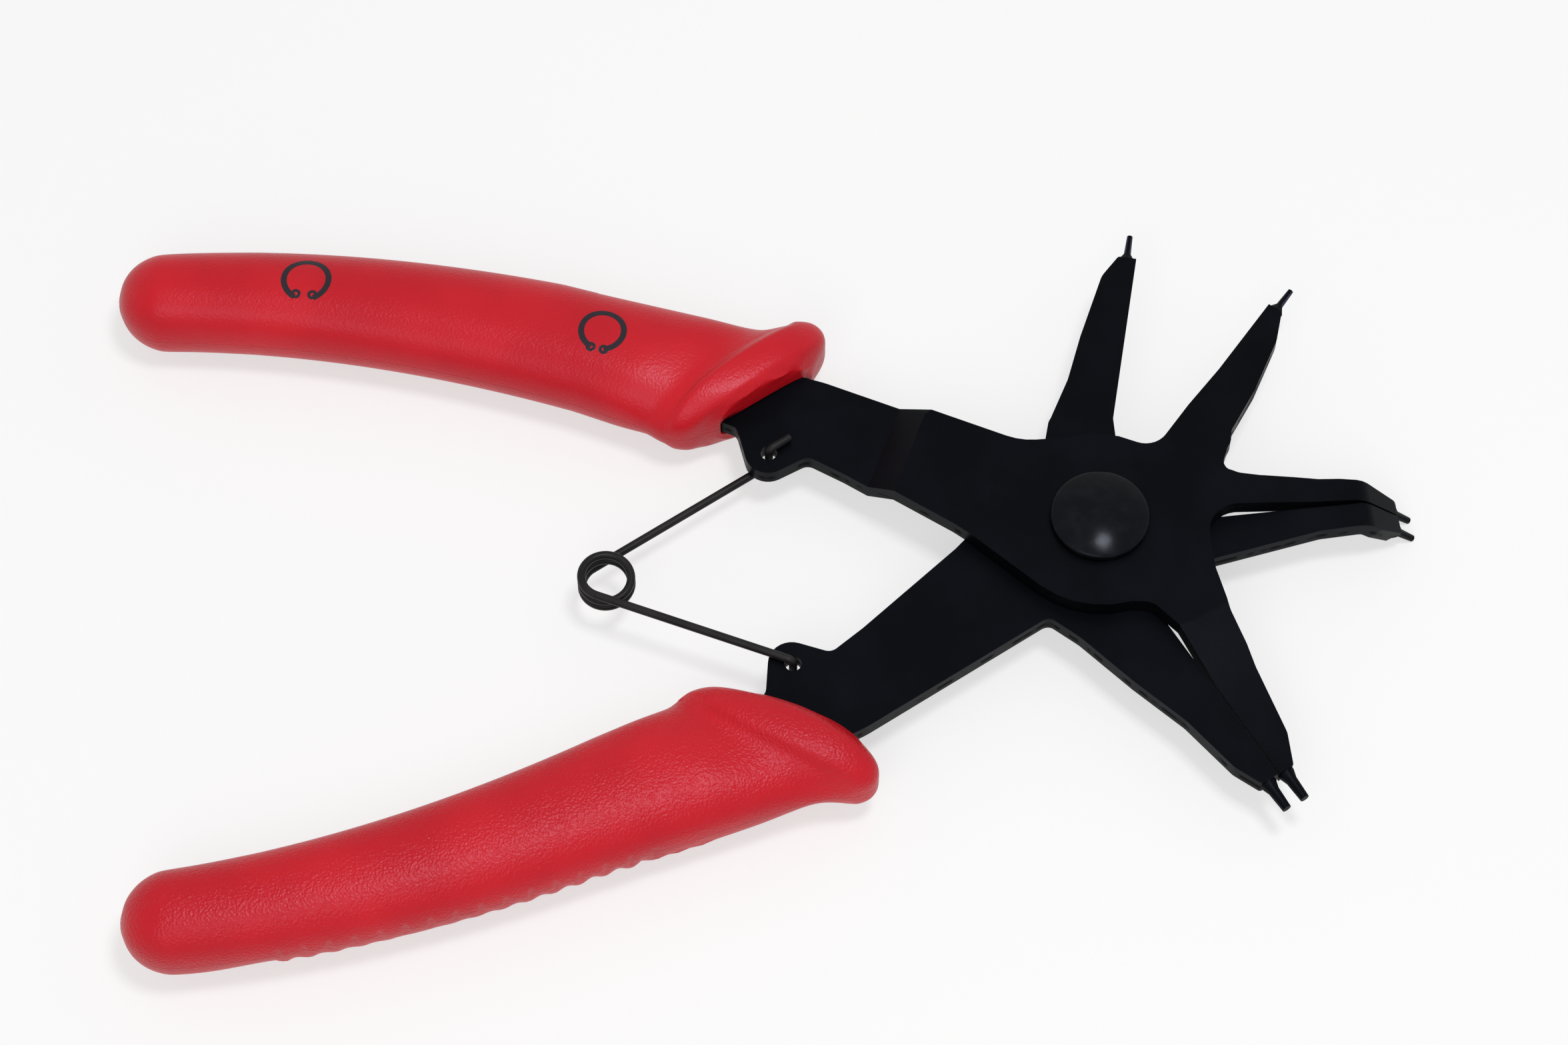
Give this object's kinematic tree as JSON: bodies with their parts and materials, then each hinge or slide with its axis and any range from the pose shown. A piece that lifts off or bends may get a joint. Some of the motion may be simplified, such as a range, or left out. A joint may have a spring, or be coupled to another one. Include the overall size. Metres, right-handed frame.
{
  "type": "circlip pliers",
  "caption": "Combination circlip pliers for internal and external rings, with straight and bent turned tips, a spring-opened pivot and red moulded grips.",
  "frame": {"origin": "on the pivot axis, at the flat face of the rivet's tail", "axes": "+X along the middle pair of jaws, handles towards -X, +Z along the pivot axis towards the rivet's head"},
  "size_m": [0.1782, 0.1075, 0.0152],
  "materials": {
    "levers": "black oxide",
    "rivet": "gloss black",
    "spring": "blued wire",
    "grips": "fine grain"
  },
  "bodies": {
    "lower_half": {"lower_lever": "levers", "pivot_rivet": "rivet", "lower_grip": "grips"},
    "upper_half": {"upper_lever": "levers", "upper_grip": "grips"},
    "spring_low": {"spring_lower_arm": "spring"},
    "spring_high": {"spring_upper_arm": "spring"}
  },
  "joints": [
    {"name": "lever_pivot", "type": "hinge", "parent": "lower_half", "child": "upper_half", "pos_m": [0, 0, 0.00415], "axis": [0, 0, 1], "range_deg": [0, 26], "stiffness_Nm_per_rad": 0.8, "springref_deg": -5.73},
    {"name": "spring_hook", "type": "hinge", "parent": "lower_half", "child": "spring_low", "pos_m": [-0.04347, -0.01565, 0.00275], "axis": [0, 0, 1], "range_deg": [0, 37.5]},
    {"name": "spring_coil", "type": "hinge", "parent": "spring_low", "child": "spring_high", "pos_m": [-0.06695, 0.0003, 0.00275], "axis": [0, 0, 1], "range_deg": [-45.5, 0]}
  ],
  "couplings": [
    {"joint": "spring_hook", "follows": "lever_pivot", "ratio": 1.4212},
    {"joint": "spring_coil", "follows": "lever_pivot", "ratio": -1.7194}
  ]
}
